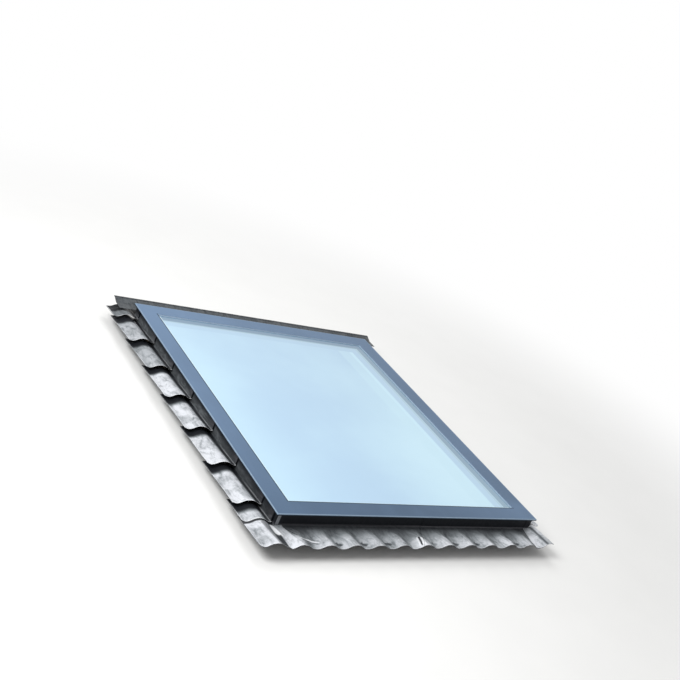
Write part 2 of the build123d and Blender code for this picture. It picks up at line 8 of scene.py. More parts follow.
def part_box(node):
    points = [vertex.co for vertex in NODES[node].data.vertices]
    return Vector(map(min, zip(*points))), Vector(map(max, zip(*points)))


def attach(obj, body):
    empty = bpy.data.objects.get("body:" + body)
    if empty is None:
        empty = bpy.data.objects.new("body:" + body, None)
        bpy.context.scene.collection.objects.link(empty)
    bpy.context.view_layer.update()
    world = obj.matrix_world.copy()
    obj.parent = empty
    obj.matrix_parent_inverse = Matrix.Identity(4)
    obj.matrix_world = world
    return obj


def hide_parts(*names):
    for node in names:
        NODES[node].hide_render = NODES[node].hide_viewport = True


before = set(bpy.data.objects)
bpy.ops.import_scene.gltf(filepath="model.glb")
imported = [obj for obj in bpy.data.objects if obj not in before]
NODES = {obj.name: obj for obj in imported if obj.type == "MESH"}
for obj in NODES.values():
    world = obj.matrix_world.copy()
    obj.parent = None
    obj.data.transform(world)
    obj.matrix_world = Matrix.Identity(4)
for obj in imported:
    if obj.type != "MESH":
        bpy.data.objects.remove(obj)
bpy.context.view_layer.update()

bl_info = {
    "name": "Roof skylight with lead flashings",
    "version": (1, 0, 0),
    "blender": (4, 5, 0),
    "location": "3D View > Sidebar > Skylight",
    "description": "Finishes for a fixed roof skylight, its timber kerb and its lead flashings",
    "category": "Object",
}

# Lengths are in metres. The kerb's middle and half sizes, and the half sizes of the
# glass that shows
MIDDLE_X, MIDDLE_Y = 0.018, 0.028
KERB_HALF_W, KERB_HALF_L = 0.825, 1.025
SIGHT_HALF_W, SIGHT_HALF_L = 0.737, 0.937
# The lead's rolls, the first crest beside the kerb, and the lap of the soakers
ROLL_PITCH = 0.146
ROLL_FIRST = 0.075
FIRST_CREST = MIDDLE_X - KERB_HALF_W - ROLL_FIRST
SOAKER_LAP = 0.075

# The lead is free to move beyond FREE_FROM from the kerb and below FREE_BELOW, fully so
# after a further FREE_WITHIN and FREE_DOWN. Above BOW_ABOVE the upstands bow out, by
# about BOW.
FREE_FROM, FREE_WITHIN = 0.010, 0.030
FREE_BELOW, FREE_DOWN = 0.105, 0.008
BOW_ABOVE, BOW = 0.080, 0.0009
SHARP_EDGE = 0.6  # radians
SAME_POINT = 1e-6
# Steps between the sheets' parts of the noise
NOISE_STEP_X, NOISE_STEP_Y = 1.7, 0.9
# Bands in the glass that reach further in than this run along the right only
WIDE_BAND = 0.13

# Ridges, dents and pleats in the apron: start, end, half width, height
PLEATS = [
    ((-0.824, -1.012), (-0.805, -1.090), 0.009, 0.0050),
    ((-0.858, -1.010), (-0.842, -1.163), 0.014, -0.0050),
    ((-0.733, -1.030), (-0.705, -1.062), 0.006, -0.0040),
    ((-0.690, -1.110), (-0.630, -1.128), 0.006, 0.0040),
    ((-0.008, -1.095), (-0.022, -1.155), 0.016, 0.0060),
    ((-0.019, -1.095), (-0.033, -1.158), 0.005, -0.0050),
    ((0.296, -1.010), (0.296, -1.135), 0.004, 0.0025),
    ((0.590, -1.110), (0.600, -1.150), 0.006, 0.0030),
]
# The dents in the pans at the apron's tail, each beside a crest
PLEATS += [
    ((crest - 0.085, -1.136), (crest - 0.060, -1.150), 0.013, -0.0050)
    for crest in (-0.444, -0.298, 0.140, 0.286, 0.432, 0.724)
]
# Lines of painted highlight on ridges and painted shade in creases: the sheets, start,
# end, half width, colour, strength
STROKES = [
    ("apron_corner_left", (-0.828, -1.014), (-0.825, -1.070), 0.0190, "rubbed_and_lit", 0.95),
    ("apron_corner_left", (-0.819, -1.040), (-0.808, -1.085), 0.0080, "rubbed_and_lit", 0.6),
    ("apron_corner_left", (-0.872, -1.005), (-0.858, -1.165), 0.0200, "dark", 0.55),
    ("apron_corner_left apron_left", (-0.768, -1.019), (-0.727, -1.082), 0.0045, "dark", 0.8),
    ("apron_left", (-0.718, -1.105), (-0.634, -1.136), 0.0050, "rubbed_and_lit", 0.6),
    ("apron_left", (-0.706, -1.116), (-0.640, -1.144), 0.0040, "dark", 0.5),
    ("apron_left apron_right", (-0.004, -1.108), (-0.018, -1.162), 0.0120, "rubbed_and_lit", 0.8),
    ("apron_left apron_right", (-0.028, -1.104), (-0.042, -1.162), 0.0060, "rubbed_and_lit", 0.6),
    ("apron_left apron_right", (-0.017, -1.100), (-0.032, -1.162), 0.0045, "dark", 1.0),
    ("apron_right", (0.600, -1.125), (0.609, -1.160), 0.0035, "dark", 0.7),
    ("left_soaker_7", (-0.846, 0.960), (-0.846, 0.800), 0.0060, "rubbed_and_lit", 0.8),
]
# The two shades that each plain finish goes between
SHADES = {
    "inner_glass": ((0.55, 0.74, 0.78), (0.66, 0.82, 0.86)),
    "spacer_aluminium": ((0.045, 0.070, 0.095), (0.090, 0.125, 0.155)),
    "black_rubber": ((0.020, 0.028, 0.034), (0.060, 0.075, 0.085)),
    "grey_silicone": ((0.27, 0.36, 0.46), (0.33, 0.43, 0.54)),
    "block_plastic": ((0.035, 0.040, 0.045), (0.070, 0.075, 0.080)),
    "zinc_plate": ((0.48, 0.50, 0.52), (0.72, 0.72, 0.68)),
    "nail_copper": ((0.060, 0.036, 0.028), (0.022, 0.019, 0.018)),
    "cast_aluminium": ((0.50, 0.51, 0.53), (0.68, 0.69, 0.70)),
}
WHITE = (1.0, 1.0, 1.0)
PAPER_SHADE = (0.88, 0.88, 0.87)

# Lamps that point at the object's middle: name, place, size, power
LAMPS = (
    ("key_light", (-4.2, -1.0, 4.2), 3.2, 260.0),
    ("top_light", (1.0, 3.5, 5.0), 4.0, 90.0),
)
FLOOR_RADIUS = 60.0
FLOOR_FADE = (1.9, 4.5)
# The camera's place, its own three axes, and the shift of its picture
CAMERA_PLACE = (-3.36056, -4.34771, 2.56109)
CAMERA_AXES = (
    (0.76082, -0.51227, 0.39843),
    (-0.08951, 0.52524, 0.84624),
    (-0.64277, -0.67949, 0.35375),
)
CAMERA_SHIFT = (-0.147, 0.088)
SENSOR_WIDTH = 36.0  # millimetres


# ---------------------------------------------------------------- shader writing
def both_ways(operation):
    """An operator between a wire and a value, and its reflected form."""

    def plain(self, other):
        return self.math(operation, self, other)

    def reflected(self, other):
        return self.math(operation, other, self)

    return plain, reflected


class Wire:
    """The output socket of a shader node. Arithmetic on it adds Math nodes."""

    def __init__(self, shader, socket):
        self.shader = shader
        self.socket = socket

    __add__, __radd__ = both_ways("ADD")
    __sub__, __rsub__ = both_ways("SUBTRACT")
    __mul__, __rmul__ = both_ways("MULTIPLY")
    __truediv__, __rtruediv__ = both_ways("DIVIDE")
    __pow__, __rpow__ = both_ways("POWER")

    def math(self, operation, *values, clamp=False):
        return self.shader.node(
            "ShaderNodeMath",
            {"operation": operation, "use_clamp": clamp},
            dict(enumerate(values)),
        )

    def __neg__(self):
        return self.math("MULTIPLY", self, -1.0)

    def __abs__(self):
        return self.math("ABSOLUTE", self)

    def sine(self):
        return self.math("SINE", self)

    def cosine(self):
        return self.math("COSINE", self)

    def fraction(self):
        return self.math("FRACT", self)

    def least(self, other):
        return self.math("MINIMUM", self, other)

    def most(self, other):
        return self.math("MAXIMUM", self, other)

    def clamped(self):
        return self.math("ADD", self, 0.0, clamp=True)

    def ease(self, low, high):
        """0 below low and 1 above high, smooth between. High may be the lower one."""
        return self.shader.node(
            "ShaderNodeMapRange",
            {"interpolation_type": "SMOOTHSTEP"},
            {0: self, 1: low, 2: high, 3: 0.0, 4: 1.0},
        )

    def sibling(self, key):
        """Another output of the same node."""
        return Wire(self.shader, self.socket.node.outputs[key])


class Shader:
    """A node tree, emptied first. Its method node adds every node."""

    def __init__(self, tree):
        self.tree = tree
        self.tree.nodes.clear()

    def node(self, kind, settings=None, inputs=None, out=0):
        """Add a node: its settings first, then the values or links of its sockets.

        The result is its output, or None for a node that ends the tree.
        """
        made = self.tree.nodes.new(kind)
        for key, value in (settings or {}).items():
            setattr(made, key, value)
        for key, value in (inputs or {}).items():
            socket = made.inputs[key]
            if isinstance(value, Wire):
                self.tree.links.new(value.socket, socket)
            elif socket.type == "RGBA":
                socket.default_value = (*value, 1.0)
            else:
                socket.default_value = value
        return Wire(self, made.outputs[out]) if made.outputs else None

    def mix(self, factor, first, second):
        """Shaders first and second, by a factor."""
        return self.node("ShaderNodeMixShader", inputs={0: factor, 1: first, 2: second})

    def backdrop_rays(self):
        """1 for rays that show the backdrop: the camera's, and those off or through glass."""
        path = self.node("ShaderNodeLightPath", out="Is Camera Ray")
        glossy, through = path.sibling("Is Glossy Ray"), path.sibling("Is Transmission Ray")
        return path.most(glossy).most(through)


class Finish(Shader):
    """One procedural material."""

    def __init__(self, name):
        self.name = name
        self.material = bpy.data.materials.new(name)
        self.material.use_nodes = True
        super().__init__(self.material.node_tree)
        self.place = self.node("ShaderNodeTexCoord", out="Object")

    def axes(self, vector=None):
        """The three numbers of a vector, by default of the place on the object."""
        first = self.node("ShaderNodeSeparateXYZ", inputs={0: vector or self.place})
        return first, first.sibling(1), first.sibling(2)

    def normal(self):
        return self.axes(self.node("ShaderNodeNewGeometry", out="Normal"))

    def vector(self, operation, by, start=None):
        """A vector, by default the place on the object, moved or stretched by another."""
        return self.node(
            "ShaderNodeVectorMath", {"operation": operation}, {0: start or self.place, 1: by}
        )

    def noise(self, scale, detail, rough, vector=None, twist=0.0):
        return self.node(
            "ShaderNodeTexNoise",
            inputs={
                "Vector": vector or self.place,
                "Scale": scale,
                "Detail": detail,
                "Roughness": rough,
                "Distortion": twist,
            },
        )

    def cells(self, scale, vector, feature="F1"):
        return self.node(
            "ShaderNodeTexVoronoi", {"feature": feature}, {"Vector": vector, "Scale": scale}
        )

    def blend(self, first, second, factor):
        """Colours first and second, by a factor."""
        return self.node(
            "ShaderNodeMix", {"data_type": "RGBA"}, {0: factor, 6: first, 7: second}, out=2
        )

    def bump(self, height, distance, strength):
        return self.node(
            "ShaderNodeBump",
            inputs={"Strength": strength, "Distance": distance, "Height": height},
        )

    def principled(self, **inputs):
        """The Principled shader, with its sockets' names in small letters."""
        named = {
            key.replace("_", " ").title().replace("Ior", "IOR"): value
            for key, value in inputs.items()
        }
        return self.node("ShaderNodeBsdfPrincipled", inputs=named)

    def show(self, shader):
        self.node("ShaderNodeOutputMaterial", inputs={"Surface": shader})

    def surface(self, **inputs):
        self.show(self.principled(**inputs))

    def mottled(self, mask, roughness, spread, tone=None, **inputs):
        """A plain finish between its two shades, rougher by spread where the mask is 1."""
        self.surface(
            base_color=self.blend(*SHADES[self.name], mask if tone is None else tone),
            roughness=(roughness + mask * spread).clamped(),
            **inputs,
        )

    def put_on(self, *names):
        """Give CAD nodes this material."""
        for name in names:
            mesh = NODES[name].data
            mesh.materials.clear()
            mesh.materials.append(self.material)


def starting(*starts):
    """The CAD nodes whose names start so, in the order of their names."""
    return sorted(name for name in NODES if name.startswith(starts))


# ---------------------------------------------------------------- what a user would change
def tint(name, description, colour):
    return bpy.props.FloatVectorProperty(
        name=name,
        description=description,
        default=colour,
        subtype="COLOR",
        size=3,
        min=0.0,
        max=1.0,
    )


class SkylightFrameValues(bpy.types.PropertyGroup):
    coat: tint("Coat", "Colour of the powder coat", (0.040, 0.078, 0.134))
    # The paler coat is a painted reflection of the sky on the bars
    coat_sky_lit: tint("Chalked coat", "Colour of the coat where it is chalked", (0.130, 0.208, 0.330))
    # A painted highlight on the bars' outer edges
    arris_highlight: tint("Arris", "Colour of the rubbed edges", (0.26, 0.35, 0.45))
    # A painted highlight on the bars' inner sides, beside the glass
    inner: tint("Inner edges", "Clean coat beside the glass", (0.340, 0.440, 0.560))
    turned: tint("Turned edges", "Inner edges away from the light", (0.018, 0.040, 0.062))
    # Painted shade on the outer sides, under the arris
    lip_shade: tint("Grime", "Grime on the outer sides, under the arris", (0.004, 0.007, 0.011))
    coat_roughness: bpy.props.FloatProperty(
        name="Coat roughness",
        description="Roughness of the satin coat",
        default=0.36,
        subtype="FACTOR",
    )


class SkylightGlassValues(bpy.types.PropertyGroup):
    # The glass's blue, its paler patches and its bright lower right are a painted reflection of the
    # sky
    sky: tint("Glass", "Colour of the clear glass", (0.485, 0.685, 0.865))
    pale_sheen: tint("Haze", "Colour of the glass where it is hazy", (0.58, 0.815, 0.935))
    bright: tint("Brightest", "Colour of the glass at the lower right", (0.66, 0.90, 1.0))
    # A painted highlight along the glass's edge
    edge_glint: tint("Polished edge", "Edge that catches the light", (0.74, 0.93, 1.0))
    # Painted reflection and shade of the frame's inside, seen through the glass
    inside: tint("Inside", "Frame's inside, seen through the glass", (0.215, 0.335, 0.445))
    pocket: tint("Top inside", "Frame's inside along the top", (0.165, 0.268, 0.385))
    cover: bpy.props.FloatProperty(
        name="Glass cover",
        description="How much the outer pane hides",
        default=0.80,
        subtype="FACTOR",
    )

    def bands(self):
        """Colour, reach, softness and strength of the painted bands of shade and reflection, from
        the glass to the frame.
        """
        sky, pale_sheen, inside = Vector(self.sky), Vector(self.pale_sheen), Vector(self.inside)
        return (
            (pale_sheen, 0.240, 0.010, 0.5),
            (pale_sheen * 1.04, 0.150, 0.006, 0.8),
            (sky * 0.97, 0.122, 0.008, 1.0),
            (pale_sheen.lerp(inside, 0.48), 0.072, 0.006, 1.0),
            (inside, 0.052, 0.005, 1.0),
        )


class SkylightLeadValues(bpy.types.PropertyGroup):
    # Rubbed lead, which also paints highlights on ridges and edges
    rubbed_and_lit: tint("Rubbed", "Lead rubbed bare on its edges", (0.80, 0.82, 0.85))
    # Rain-washed lead, which also paints light on faces that look up
    bright: tint("Rinsed", "Rain-washed lead", (0.65, 0.67, 0.71))
    grey: tint("Bloom", "Lead with an even bloom", (0.215, 0.235, 0.250))
    # Sheltered patina, which also paints shade on the upstands and beside the frame
    dark: tint("Sheltered", "Lead that the rain doesn't reach", (0.008, 0.009, 0.012))
    wrapped: tint("Wrapped", "Lead round the kerb's corner", (0.26, 0.27, 0.29))
    # A painted highlight along the apron's fold
    seam: tint("Seam", "Fold at the foot of the apron's upstand", (0.10, 0.10, 0.11))
    smear: tint("Smears", "Smears on the upstands, near the noses", (0.10, 0.095, 0.105))
    # Painted shadow at the soakers' noses
    cut: tint("Gaps", "Black gaps at the soakers' noses", (0.002, 0.003, 0.005))
    grid: bpy.props.FloatProperty(
        name="Grid",
        description="Mesh size of the dressed sheets",
        default=0.007,
        unit="LENGTH",
    )
    knock: bpy.props.FloatProperty(
        name="Knock",
        description="How far the dressing tool dents the lead",
        default=0.0022,
        unit="LENGTH",
    )


class SkylightKerbValues(bpy.types.PropertyGroup):
    wood: tint("Timber", "Colour of the planed timber", (0.52, 0.36, 0.20))
    grain: tint("Grain", "Colour of its grain and knots", (0.34, 0.20, 0.10))
    primer: tint("Primer", "Colour of the primed outer faces", (0.010, 0.010, 0.011))


class SkylightStageValues(bpy.types.PropertyGroup):
    floor: tint("Floor", "Colour of the floor near the object", (0.84, 0.84, 0.83))
    lens: bpy.props.FloatProperty(
        name="Lens", description="Focal length of the camera", default=54.93, unit="CAMERA"
    )
    daylight: bpy.props.FloatProperty(
        name="Daylight", description="Strength of the even light round the object", default=0.55
    )


# ---------------------------------------------------------------- operators
class SKYLIGHT_OT_frame(bpy.types.Operator):
    """Satin powder coat on the base bars and the cover bars"""

    bl_idname = "skylight.frame"
    bl_label = "Frame bars"

    def execute(self, context):
        values = context.scene.skylight_frame
        coat = Finish("satin_powder_coat")
        x, y, z = coat.axes()
        _, _, nz = coat.normal()
        dust = coat.noise(3.0, 5.0, 0.6).ease(0.42, 0.72)
        drawn = coat.vector("MULTIPLY", (1.0, 0.18, 1.0))
        streak = coat.noise(9.0, 4.0, 0.6, drawn).ease(0.50, 0.75)
        specks = coat.noise(160.0, 2.0, 0.5).ease(0.62, 0.74)
        # Painted reflection of the sky, paler: more up the slope and to the left, then on the side
        # bars' lower halves, at the top left corner and at the right end of the front bar
        sky_lit = y.ease(-1.2, 1.1) * 0.62 + (-x).ease(-0.9, 0.9) * 0.22
        flanks = abs(x).ease(0.69, 0.72) * y.ease(0.50, -0.40) * y.ease(-0.97, -0.80)
        sky_lit = sky_lit + flanks * (0.15 + x.ease(-0.1, 0.1) * 0.17)
        sky_lit = sky_lit + y.ease(0.40, 1.05) * x.ease(0.10, -0.80) * 0.14
        sky_lit = sky_lit + x.ease(0.05, 0.80) * y.ease(-0.80, -0.92) * 0.55
        # The painted sky reflection, with real dust, streaks and specks
        wear_and_sheen = (sky_lit + dust * 0.10 + streak * 0.08 + specks * 0.05).clamped()
        colour = coat.blend(values.coat, values.coat_sky_lit, wear_and_sheen)
        # The outer sides have a painted highlight along the arris above and painted shade below,
        # and the top's outer rim has a painted highlight too
        side = 1.0 - abs(nz).ease(0.45, 0.85)
        beyond = (abs(x - MIDDLE_X) - SIGHT_HALF_W).most(abs(y - MIDDLE_Y) - SIGHT_HALF_L)
        outer = beyond.ease(0.060, 0.080)
        arris_highlight = side * outer * z.ease(0.1395, 0.1420) + (1.0 - side) * beyond.ease(0.1025, 0.1045)
        lip_shade = side * outer * z.ease(0.1415, 0.1395)
        # The inner edge of the left and bottom bars turns away from the light
        near = (MIDDLE_X - SIGHT_HALF_W - x).most(MIDDLE_Y - SIGHT_HALF_L - y)
        turned = (1.0 - side) * near.ease(-0.001, 0.001) * beyond.ease(0.010, 0.005)
        # Painted highlight on the bars' inner sides
        colour = coat.blend(colour, values.inner, side * (1.0 - outer) * 0.85)
        colour = coat.blend(colour, values.arris_highlight, arris_highlight * 0.75)
        colour = coat.blend(colour, values.lip_shade, lip_shade * 0.95)
        colour = coat.blend(colour, values.turned, turned * 0.85)
        coat.surface(
            base_color=colour,
            roughness=(values.coat_roughness + wear_and_sheen * 0.10).clamped(),
            specular_ior_level=0.2,
            normal=coat.bump(coat.noise(700.0, 1.0, 0.5), 0.0002, 0.25),
        )
        coat.put_on(*starting("base_bar", "cover_bar"))
        return {"FINISHED"}


class SKYLIGHT_OT_glass(bpy.types.Operator):
    """Clear double glazing with a pale sheen, its spacer, seals and gaskets"""

    bl_idname = "skylight.glass"
    bl_label = "Glazing"

    def execute(self, context):
        self.outer_pane(context.scene.skylight_glass)

        inner = Finish("inner_glass")
        cloud = inner.noise(2.0, 2.0, 0.5).ease(0.3, 0.8)
        clear = (0.28 + cloud * 0.04).clamped()
        inner.mottled(cloud, roughness=0.04, spread=0.02, alpha=clear)
        inner.put_on("inner_pane")

        spacer = Finish("spacer_aluminium")
        _, _, z = spacer.axes()
        foot = z.ease(0.1185, 0.1165)
        drawn = spacer.noise(400.0, 2.0, 0.5, spacer.vector("MULTIPLY", (1.0, 1.0, 0.04)))
        grooves = spacer.bump(drawn, 0.0002, 0.3)
        tone = drawn + foot * 0.9
        spacer.mottled(
            drawn, roughness=0.30, spread=0.15, tone=tone, metallic=0.3, normal=grooves
        )
        spacer.put_on("spacer_bar")

        rubber = Finish("black_rubber")
        grain = rubber.bump(rubber.noise(500.0, 3.0, 0.6), 0.0003, 0.3)
        chalk = rubber.noise(14.0, 4.0, 0.6).ease(0.5, 0.8)
        rubber.mottled(chalk, roughness=0.55, spread=0.2, tone=chalk * 0.7, normal=grain)
        rubber.put_on("edge_seal", "inner_gasket", "kerb_seal")

        silicone = Finish("grey_silicone")
        silicone.mottled(silicone.noise(180.0, 3.0, 0.6), roughness=0.45, spread=0.1)
        silicone.put_on("outer_gasket")

        block = Finish("block_plastic")
        block.mottled(block.noise(220.0, 3.0, 0.6), roughness=0.45, spread=0.1)
        block.put_on("setting_blocks")
        return {"FINISHED"}

    def outer_pane(self, values):
        """The pane that shows: painted sky reflection, and painted bands of the frame's inside and
        shade.
        """
        pane = Finish("outer_glass")
        x, y, _ = pane.axes()
        # Painted sky reflection: paler patches, paler sides and a brighter lower right, with real
        # spots
        pale_sheen = pane.noise(1.6, 3.0, 0.5).ease(0.35, 0.75)
        spots = pane.noise(90.0, 3.0, 0.6).ease(0.66, 0.74)
        sides = x.ease(-0.05, 0.60) * y.ease(0.80, 0.10) * 0.55 + x.ease(-0.35, -0.78) * 0.50
        sheen_and_spots = (pale_sheen * 0.34 + sides + spots * 0.15).clamped()
        glass = pane.blend(values.sky, values.pale_sheen, sheen_and_spots)
        bright = x.ease(-0.10, 0.60) * y.ease(0.25, -0.75)
        glass = pane.blend(glass, values.bright, bright * 0.60)
        # How far a point lies from the four edges of the glass that shows
        right, top = SIGHT_HALF_W + MIDDLE_X - x, SIGHT_HALF_L + MIDDLE_Y - y
        left, bottom = SIGHT_HALF_W - MIDDLE_X + x, SIGHT_HALF_L - MIDDLE_Y + y
        far, near = right.least(top), left.least(bottom)
        # The bands fade a little down the slope
        faded = 1.0 - y.ease(-0.30, -0.90) * 0.15
        # Painted bands of the frame's inside and its shade, seen through the glass
        for colour, reach, soft, amount in values.bands():
            across = right if reach > WIDE_BAND else far
            mask = across.ease(reach + soft, reach - soft) * (amount * faded)
            glass = pane.blend(glass, colour, mask)
        glass = pane.blend(glass, values.pocket, top.ease(0.064, 0.054) * 0.75)
        # A painted highlight along the edge of the glass on the left and the bottom
        edge = near.ease(-0.001, 0.002) * near.ease(0.016, 0.009) * far.ease(0.002, 0.020)
        glass = pane.blend(glass, values.edge_glint, edge * 0.85)
        cover = values.cover + sheen_and_spots * 0.06 + far.ease(0.09, 0.04) * 0.10
        pane.surface(
            base_color=glass,
            roughness=(0.03 + spots * 0.06 + (-y).ease(0.2, 1.0) * 0.02).clamped(),
            alpha=cover.clamped(),
            ior=1.52,
        )
        pane.put_on("outer_pane")


class SKYLIGHT_OT_kerb(bpy.types.Operator):
    """Planed softwood kerb boards with their grain along each board"""

    bl_idname = "skylight.kerb"
    bl_label = "Timber kerb"

    def execute(self, context):
        values = context.scene.skylight_kerb
        for name in starting("kerb_board"):
            wood = Finish("softwood_" + name.split("_")[-1])
            up_slope = name.endswith(("left", "right"))
            drawn = wood.vector("MULTIPLY", (1.0, 0.06, 1.0) if up_slope else (0.06, 1.0, 1.0))
            lines = (wood.noise(38.0, 3.0, 0.5, drawn, 0.6) * 26.0).sine() * 0.5 + 0.5
            fibre = wood.noise(320.0, 3.0, 0.6, drawn)
            long = wood.vector("MULTIPLY", (1.0, 0.4, 1.6) if up_slope else (0.4, 1.0, 1.6))
            knot = wood.cells(5.0, long).ease(0.10, 0.03)
            tone = (lines * 0.45 + fibre * 0.30 + knot * 0.9).clamped()
            bare = wood.blend(values.wood, values.grain, tone)
            # Only the faces outside the kerb are primed
            x, y, _ = wood.axes()
            outside = (abs(x - MIDDLE_X) - KERB_HALF_W).most(abs(y - MIDDLE_Y) - KERB_HALF_L)
            brushed = fibre.ease(0.75, 0.35) * 0.25 + 0.75
            primed = outside.ease(-0.004, -0.002) * brushed
            wood.surface(
                base_color=wood.blend(bare, values.primer, primed),
                roughness=(0.55 + fibre * 0.2).clamped(),
                normal=wood.bump(lines * 0.4 + fibre, 0.0006, 0.35),
            )
            wood.put_on(name)
        return {"FINISHED"}


class SKYLIGHT_OT_fixings(bpy.types.Operator):
    """Zinc-plated screws, copper nails and cast corner cleats"""

    bl_idname = "skylight.fixings"
    bl_label = "Fixings"

    def execute(self, context):
        zinc = Finish("zinc_plate")
        zinc.mottled(zinc.noise(260.0, 4.0, 0.6), roughness=0.28, spread=0.25, metallic=0.9)
        zinc.put_on("frame_screws", "kerb_screws")

        copper = Finish("nail_copper")
        tarnish = copper.noise(300.0, 4.0, 0.6).ease(0.35, 0.7)
        copper.mottled(tarnish, roughness=0.35, spread=0.3, metallic=0.5)
        copper.put_on("lead_nails")

        cast = Finish("cast_aluminium")
        skin = cast.noise(420.0, 4.0, 0.65)
        rough_cast = cast.bump(skin, 0.0005, 0.5)
        cast.mottled(skin, roughness=0.42, spread=0.2, metallic=0.8, normal=rough_cast)
        cast.put_on(*starting("corner_cleat"))
        return {"FINISHED"}


class LeadFinish(Finish):
    """Weathered lead on one sheet, with painted light and shade, by where it lies on the roof.

    A point's aside, ahead and behind are how far it lies outside the kerb at the sides,
    down the slope and up the slope.
    """

    def __init__(self, values, sheet, number):
        super().__init__("lead_" + sheet)
        self.values = values
        self.sheet = sheet
        self.on_apron = sheet.startswith("apron")
        self.on_side = "soaker" in sheet or "upper" in sheet
        self.on_left = "left" in sheet
        self.low, self.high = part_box(sheet)
        self.x, self.y, self.z = self.axes()
        self.nx, self.ny, nz = self.normal()
        # Faces that look up are painted lighter, and the upstands get painted shade
        self.up = nz.ease(0.25, 0.80)
        self.aside = abs(self.x - MIDDLE_X) - KERB_HALF_W
        self.ahead = (MIDDLE_Y - KERB_HALF_L) - self.y
        self.behind = self.y - (MIDDLE_Y + KERB_HALF_L)
        # Each sheet has its own part of the noise
        self.own = self.vector("ADD", (number * NOISE_STEP_X, number * NOISE_STEP_Y, 0.0))
        drawn = self.vector("MULTIPLY", (1.0, 0.4, 1.0), self.own)
        self.bloom = self.noise(9.0, 5.0, 0.62, self.own, 0.6).ease(0.36, 0.68)
        self.smears = self.noise(30.0, 4.0, 0.6, drawn, 1.2).ease(0.42, 0.70)
        self.fine = self.noise(120.0, 3.0, 0.6, self.own).ease(0.40, 0.75)

    def dress(self):
        """Put the whole surface together."""
        lit_and_washed = self.lit_and_washed()
        values = self.values
        # From painted shade and sheltered patina, through bloom, to rain-washed lead with painted
        # light
        colour = self.blend(values.dark, values.grey, lit_and_washed.ease(-0.05, 0.50))
        colour = self.blend(colour, values.bright, lit_and_washed.ease(0.30, 0.95))
        if self.on_side:
            colour, rubbed_and_lit = self.side_edges(colour)
        else:
            colour, rubbed_and_lit = self.apron_edges(colour)
        bare = 0.35 if self.on_apron else 0.55
        colour = self.blend(colour, values.rubbed_and_lit, rubbed_and_lit * (bare + self.fine * 0.3))
        # Painted highlights along ridges and painted shade in creases
        for sheets, start, end, width, kind, strength in STROKES:
            if self.sheet in sheets.split():
                mask = self.stroke(start, end, width) * self.up * strength
                colour = self.blend(colour, getattr(values, kind), mask)
        dents = self.noise(20.0, 3.0, 0.5, self.own, 0.8)
        dressing = self.cells(34.0, self.own, "SMOOTH_F1")
        self.surface(
            base_color=colour,
            roughness=(0.46 + self.smears * 0.18 - lit_and_washed * 0.10).clamped(),
            metallic=0.15,
            specular_ior_level=0.15,
            normal=self.bump(dents * 0.8 + dressing * 0.35, 0.010, 0.5),
        )

    def lit_and_washed(self):
        """How much the lead is rain-washed and lit, from 0 to 1: patina with painted light and
        shade.
        """
        if self.sheet == "back_gutter":
            # The back gutter is kept dark: painted shade
            lit_and_washed = self.up * (0.16 + self.bloom * 0.16)
        elif self.on_side:
            lit_and_washed = self.side_rinsed()
        elif "corner" in self.sheet:
            lit_and_washed = self.corner_rinsed()
        else:
            lit_and_washed = self.apron_rinsed()
        lit_and_washed = lit_and_washed * (1.0 - self.bloom * 0.34 - self.smears * 0.26 - self.fine * 0.10)
        if self.on_side:
            # The upstands are paler at their feet, more so up the slope
            lit_and_washed = lit_and_washed + (1.0 - self.up) * self.z.ease(0.128, 0.084) * (
                self.y.ease(-1.15, -0.55) * 0.06
                + 0.06
                + self.smears * 0.08
                + self.y.ease(-0.70, -0.10) * (0.05 + self.smears * 0.10)
            )
        return lit_and_washed.clamped()

    def apron_rinsed(self):
        """Brighter towards the tail and on the crests, with painted shade on their right flanks."""
        crest = ((self.x - FIRST_CREST) * (2 * math.pi / ROLL_PITCH)).cosine()
        out = self.tailward()
        flank = self.nx.ease(0.03, 0.40)
        lit_and_washed = self.up * (0.10 + out * 0.72 + out * crest * 0.14 - flank * 0.34)
        # Dark ovals where the pans are dented, not in every pan
        share = ((self.x - FIRST_CREST) / ROLL_PITCH).fraction()
        oval = ((share - 0.46) / 0.17) ** 2.0 + ((self.ahead - 0.146) / 0.0115) ** 2.0
        chosen = self.noise(5.0, 0.0, 0.5, self.own).ease(0.34, 0.50)
        return lit_and_washed * (1.0 - oval.ease(1.4, 0.3) * chosen * 0.72)

    def corner_rinsed(self):
        """Bright beside the frame and in front of it, with painted shade between, most so on the
        left.
        """
        first, last = (0.030, 0.062) if self.on_left else (0.002, 0.024)
        beside = self.aside.ease(first, last) * 0.85
        over = (0.50 + self.tailward() * 0.5) * self.aside.ease(0.012, -0.004)
        return self.up * (beside.most(over) + 0.08)

    def side_rinsed(self):
        """Painted shade beside the frame, and bright further out."""
        first, last = (0.028, 0.060) if self.on_left else (0.010, 0.030)
        lit_away_from_frame = 0.10 + self.aside.ease(first, last) * 0.88
        lit_and_washed = self.up * lit_away_from_frame * self.behind.ease(0.02, -0.01)
        lit_and_washed = lit_and_washed * (1.0 - self.y.ease(0.35, 0.85) * 0.22)
        if "upper" in self.sheet:
            lit_and_washed = lit_and_washed * 0.5
        else:
            # Painted shadow just below the nose of the next sheet
            lit_and_washed = lit_and_washed * (self.high.y - SOAKER_LAP - self.y).ease(0.026, 0.068)
        if self.sheet == "left_soaker_6":
            lit_and_washed = lit_and_washed * 0.70
        return lit_and_washed

    def tailward(self):
        """0 at the kerb, and 1 near the apron's tail."""
        return self.ahead.ease(-0.010, 0.165)

